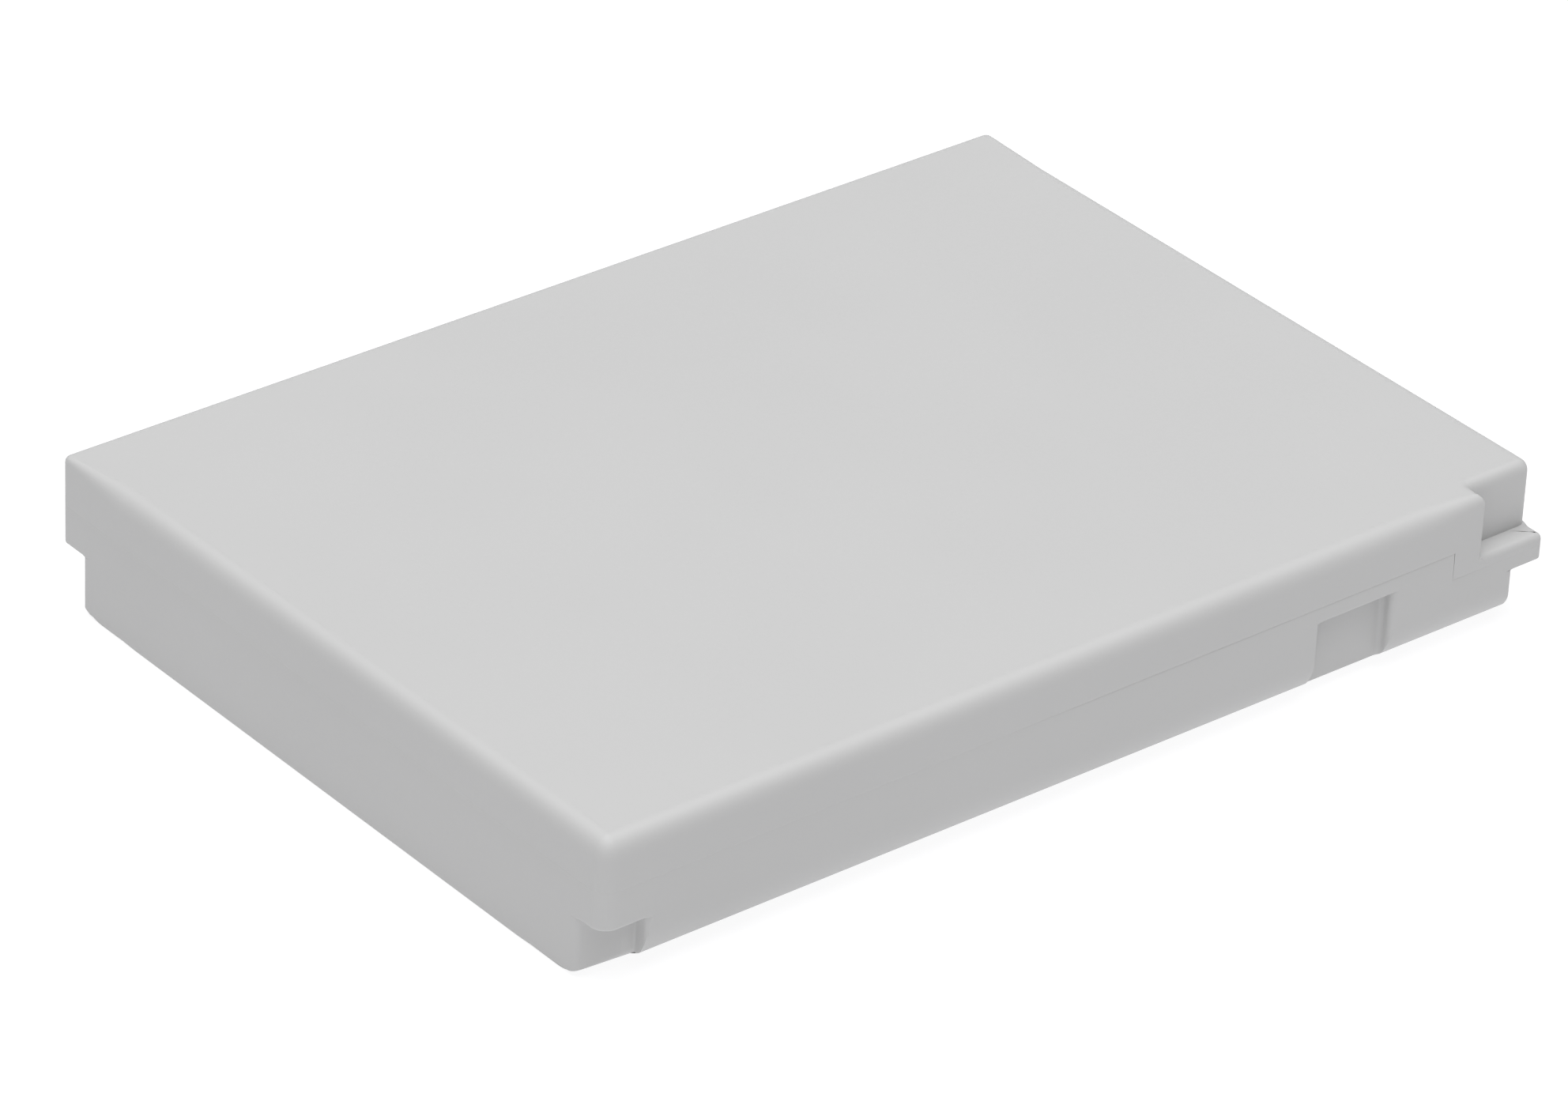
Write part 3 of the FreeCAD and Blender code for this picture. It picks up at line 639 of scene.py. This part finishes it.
def linear(hexColour):
    # sRGB hex to linear RGBA
    channels = np.array([int(hexColour[k:k + 2], 16) for k in (1, 3, 5)]) / 255
    flat = np.where(channels <= 0.04045, channels / 12.92, ((channels + 0.055) / 1.055) ** 2.4)
    return (*flat.tolist(), 1.0)


def addNode(tree, kind, inputs, **settings):
    # one node: settings are its properties, inputs are values or the sockets that feed it
    node = tree.nodes.new("ShaderNode" + kind)
    for name, value in settings.items():
        setattr(node, name, value)
    for name, value in inputs.items():
        if isinstance(value, bpy.types.NodeSocket):
            tree.links.new(value, node.inputs[name])
        else:
            node.inputs[name].default_value = value
    return node


noiseLook = {
    "grainDetail": 3.0,
    "grainRoughness": 0.6,
    "cloudDetail": 2.0,
    "grainSpan": (0.3, 0.7),    # levels of the noise at which roughness and tone reach their ends
    "cloudSpan": (0.35, 0.65),
}


def grained(name, look):
    # a grain drives roughness and relief, and a wider cloud the tone; stretch draws both out along an axis,
    # as drawing or rolling does
    material = bpy.data.materials.new(name)
    material.use_nodes = True
    tree = material.node_tree
    tree.nodes.clear()
    place = addNode(tree, "TexCoord", {}).outputs["Object"]
    stretch = look.get("stretch", (1, 1, 1))
    place = addNode(tree, "Mapping", {"Vector": place, "Scale": stretch}).outputs["Vector"]
    grain = addNode(tree, "TexNoise", {
        "Vector": place, "Scale": 1 / (look["grain"] * mm), "Detail": noiseLook["grainDetail"],
        "Roughness": noiseLook["grainRoughness"]}).outputs["Fac"]
    cloud = addNode(tree, "TexNoise", {
        "Vector": place, "Scale": 1 / (look["cloud"] * mm),
        "Detail": noiseLook["cloudDetail"]}).outputs["Fac"]
    patch = addNode(tree, "MapRange", {
        "Value": cloud, "From Min": noiseLook["cloudSpan"][0],
        "From Max": noiseLook["cloudSpan"][1]}).outputs["Result"]
    tone = addNode(tree, "Mix", {
        "Factor": patch, "A": linear(look["tones"][0]), "B": linear(look["tones"][1])},
        data_type="RGBA").outputs["Result"]
    rough = addNode(tree, "MapRange", {
        "Value": grain, "From Min": noiseLook["grainSpan"][0], "From Max": noiseLook["grainSpan"][1],
        "To Min": look["rough"][0], "To Max": look["rough"][1]}).outputs["Result"]
    relief = addNode(tree, "Bump", {
        "Height": grain, "Strength": look["strength"], "Distance": look["depth"] * mm}).outputs["Normal"]
    shader = addNode(tree, "BsdfPrincipled", {
        "Base Color": tone, "Roughness": rough, "Normal": relief, "Metallic": look.get("metallic", 0.0)})
    if "ior" in look:
        shader.inputs["IOR"].default_value = look["ior"]
    addNode(tree, "OutputMaterial", {"Surface": shader.outputs["BSDF"]})
    return material


# by material slot; grain and cloud are feature sizes in mm, depth is the relief in mm;
# the real grains are mostly a few hundredths of a mm, and are drawn coarser here
finishes = {
    # spark-eroded mould: matt and even, with hardly any shine; a typical grain of about 0.05 mm is drawn
    # at 0.22 mm, and still hardly shows from the camera's distance, as in the photograph
    "case_plastic": ("moulded_abs", {
        "tones": ("#c2c2c2", "#c1c1c1"), "grain": 0.22, "cloud": 9.0, "rough": (0.52, 0.6),
        "depth": 0.012, "strength": 0.35, "ior": 1.54}),
    # deep-drawn can: a satin shine, with fine lines along the draw
    "cell_can": ("drawn_aluminium", {
        "tones": ("#c9cbcd", "#bfc2c5"), "grain": 0.3, "cloud": 6.0, "rough": (0.28, 0.4),
        "depth": 0.01, "strength": 0.3, "metallic": 1.0, "stretch": (0.05, 1, 1)}),
    # moulded washer: nearly black, slightly waxy
    "seal_plastic": ("moulded_polypropylene", {
        "tones": ("#2c2e33", "#33353a"), "grain": 0.2, "cloud": 3.0, "rough": (0.4, 0.5),
        "depth": 0.01, "strength": 0.3, "ior": 1.49}),
    # plated after heading: a clean, slightly warm shine
    "rivet_metal": ("nickel_plated_steel", {
        "tones": ("#b9b4aa", "#c4c0b6"), "grain": 0.15, "cloud": 2.0, "rough": (0.22, 0.34),
        "depth": 0.005, "strength": 0.3, "metallic": 1.0}),
    # pressed fibre card: dull, with its fibres one way
    "insulator_fibre": ("fish_paper", {
        "tones": ("#7d857b", "#8a9187"), "grain": 0.25, "cloud": 2.5, "rough": (0.7, 0.85),
        "depth": 0.02, "strength": 0.5, "ior": 1.5, "stretch": (1, 0.2, 1)}),
    # cold-rolled strip: a soft shine, with faint lines the way it was rolled
    "nickel_strip": ("rolled_nickel", {
        "tones": ("#b7b3a8", "#c6c2b8"), "grain": 0.2, "cloud": 4.0, "rough": (0.25, 0.38),
        "depth": 0.006, "strength": 0.3, "metallic": 1.0, "stretch": (1, 0.06, 1)}),
    # pressed resin: dark brown, half dull
    "cutoff_resin": ("phenolic_resin", {
        "tones": ("#3a2a22", "#463228"), "grain": 0.2, "cloud": 1.5, "rough": (0.45, 0.6),
        "depth": 0.01, "strength": 0.4, "ior": 1.55}),
    # glass weave under a green solder mask: half glossy
    "board_laminate": ("glass_epoxy_board", {
        "tones": ("#1f5a3a", "#2a6a45"), "grain": 0.3, "cloud": 1.2, "rough": (0.3, 0.42),
        "depth": 0.01, "strength": 0.4, "ior": 1.52, "stretch": (1, 0.5, 1)}),
    # moulded round the chip: black and matt, finely pitted
    "chip_resin": ("moulded_epoxy", {
        "tones": ("#202124", "#292a2d"), "grain": 0.1, "cloud": 1.0, "rough": (0.5, 0.62),
        "depth": 0.008, "strength": 0.4, "ior": 1.55}),
    # fired without a glaze: light brown and dull
    "chip_ceramic": ("fired_ceramic", {
        "tones": ("#9a7f61", "#a98d6d"), "grain": 0.08, "cloud": 0.6, "rough": (0.5, 0.6),
        "depth": 0.006, "strength": 0.3, "ior": 1.6}),
    # plated over rolled copper: bright, slightly hazy
    "contact_gold": ("hard_gold_plate", {
        "tones": ("#d9b15c", "#e2bd6b"), "grain": 0.12, "cloud": 1.6, "rough": (0.2, 0.32),
        "depth": 0.004, "strength": 0.3, "metallic": 1.0}),
    # thin tissue under its glue: off-white and dull, with a paper's unevenness
    "tissue_tape": ("tissue_tape", {
        "tones": ("#e3e0d6", "#d9d6cb"), "grain": 0.3, "cloud": 3.0, "rough": (0.6, 0.75),
        "depth": 0.02, "strength": 0.5, "ior": 1.47}),
    # foamed and sliced: dark cut cells with no shine
    "foam": ("polyurethane_foam", {
        "tones": ("#37383b", "#414246"), "grain": 0.35, "cloud": 3.0, "rough": (0.85, 0.95),
        "depth": 0.06, "strength": 0.9, "ior": 1.45}),
}
materials = {slotName: grained(name, look) for slotName, (name, look) in finishes.items()}

shells = {"top_cover": coverPiece(), "bottom_tray": trayPiece()}
for nodeName, piece in shells.items():
    piece.data.materials.append(materials["case_plastic"])
    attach(piece, "root")
    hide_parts(nodeName)

slotOf = {entry["node"]: entry["material_slot"] for entry in frame["record"]["subparts"]}
for nodeName, node in frame["nodes"].items():
    if nodeName not in shells:
        node.data.materials.clear()
        node.data.materials.append(materials[slotOf[nodeName]])
print("pager battery: materials set")


# floor, light and camera

stageLook = {
    "floorHalf": 6000,      # mm, so that its end stays out of low views
    "floorGap": 0.01,       # mm below the case
    "floorTone": "#848486",
    "floorRough": 0.9,
    "glowTone": "#ffffff",
    "floorGlow": 0.84,      # its own light, so that hardly a shadow shows on it
    "roomTone": "#f7f7f7",
    "roomGlow": 4.95,       # light from straight overhead
    "roomSpread": 6.0,      # the higher, the less comes from the sides
    "fillFrom": (-0.683, -0.683, 0.259),    # direction of a weaker light at the left front
    "fillGlow": 0.66,
    "fillSpread": 6.0,
}


def layFloor():
    # matt white paper: an even pale ground with no shine
    half = stageLook["floorHalf"] * mm
    corners = [(-half, -half, 0), (half, -half, 0), (half, half, 0), (-half, half, 0)]
    mesh = bpy.data.meshes.new("floor")
    mesh.from_pydata(corners, [], [(0, 1, 2, 3)])
    floor = bpy.data.objects.new("floor", mesh)
    floor.location.z = -stageLook["floorGap"] * mm
    bpy.context.scene.collection.objects.link(floor)
    material = bpy.data.materials.new("white_paper")
    material.use_nodes = True
    tree = material.node_tree
    tree.nodes.clear()
    shader = addNode(tree, "BsdfPrincipled", {
        "Base Color": linear(stageLook["floorTone"]), "Roughness": stageLook["floorRough"],
        "Specular IOR Level": 0.0, "Emission Color": linear(stageLook["glowTone"]),
        "Emission Strength": stageLook["floorGlow"]})
    addNode(tree, "OutputMaterial", {"Surface": shader.outputs["BSDF"]})
    mesh.materials.append(material)


def lightRoom():
    # two big soft sources of brightness glow c^spread, c being the cosine between a direction and
    # the one that the source lies in
    world = bpy.data.worlds.new("soft_room")
    world.use_nodes = True
    tree = world.node_tree
    tree.nodes.clear()
    direction = addNode(tree, "TexCoord", {}).outputs["Generated"]

    def source(toward, glow, spread):
        cosine = addNode(tree, "VectorMath", {0: direction, 1: toward}, operation="DOT_PRODUCT")
        share = addNode(tree, "Math", {0: cosine.outputs["Value"], 1: 0.0}, operation="MAXIMUM")
        share = addNode(tree, "Math", {0: share.outputs["Value"], 1: spread}, operation="POWER")
        share = addNode(tree, "Math", {0: share.outputs["Value"], 1: glow}, operation="MULTIPLY")
        return share.outputs["Value"]

    above = source((0, 0, 1), stageLook["roomGlow"], stageLook["roomSpread"])
    fill = source(stageLook["fillFrom"], stageLook["fillGlow"], stageLook["fillSpread"])
    level = addNode(tree, "Math", {0: above, 1: fill}, operation="ADD").outputs["Value"]
    glow = addNode(tree, "Background", {"Color": linear(stageLook["roomTone"]), "Strength": level})
    addNode(tree, "OutputWorld", {"Surface": glow.outputs["Background"]})
    bpy.context.scene.world = world


# camera as a long lens from the left front, matched to the photograph's outline
cameraSet = {
    "aim": (-2.144, -1.109, 3.5),   # mm, a point of the case on the lens axis
    "azimuth": -40.42,      # degrees round from the front
    "elevation": 30.92,
    "roll": -2.79,
    "distance": 346.6,      # mm
    "lens": 189.0,          # mm
    "sensor": 36,           # mm wide
    "nearest": 10,          # mm from the lens
}


def placeCamera():
    azimuth, elevation, roll = [math.radians(cameraSet[k]) for k in ("azimuth", "elevation", "roll")]
    outward = Vector((math.sin(azimuth) * math.cos(elevation), -math.cos(azimuth) * math.cos(elevation),
                      math.sin(elevation)))
    level = Vector((0, 0, 1)).cross(outward).normalized()
    upright = outward.cross(level)
    across = level * math.cos(roll) - upright * math.sin(roll)
    upward = level * math.sin(roll) + upright * math.cos(roll)
    turned = Matrix((across, upward, outward)).transposed().to_4x4()
    place = (Vector(cameraSet["aim"]) + outward * cameraSet["distance"]) * mm
    lens = bpy.data.cameras.new("camera")
    lens.sensor_fit = "HORIZONTAL"
    lens.sensor_width = cameraSet["sensor"]
    lens.lens = cameraSet["lens"]
    lens.clip_start = cameraSet["nearest"] * mm
    camera = bpy.data.objects.new("camera", lens)
    camera.matrix_world = Matrix.Translation(place) @ turned
    bpy.context.scene.collection.objects.link(camera)
    bpy.context.scene.camera = camera


layFloor()
lightRoom()
placeCamera()
bpy.context.scene.view_settings.view_transform = "Standard"
print("pager battery: floor, light and camera set")
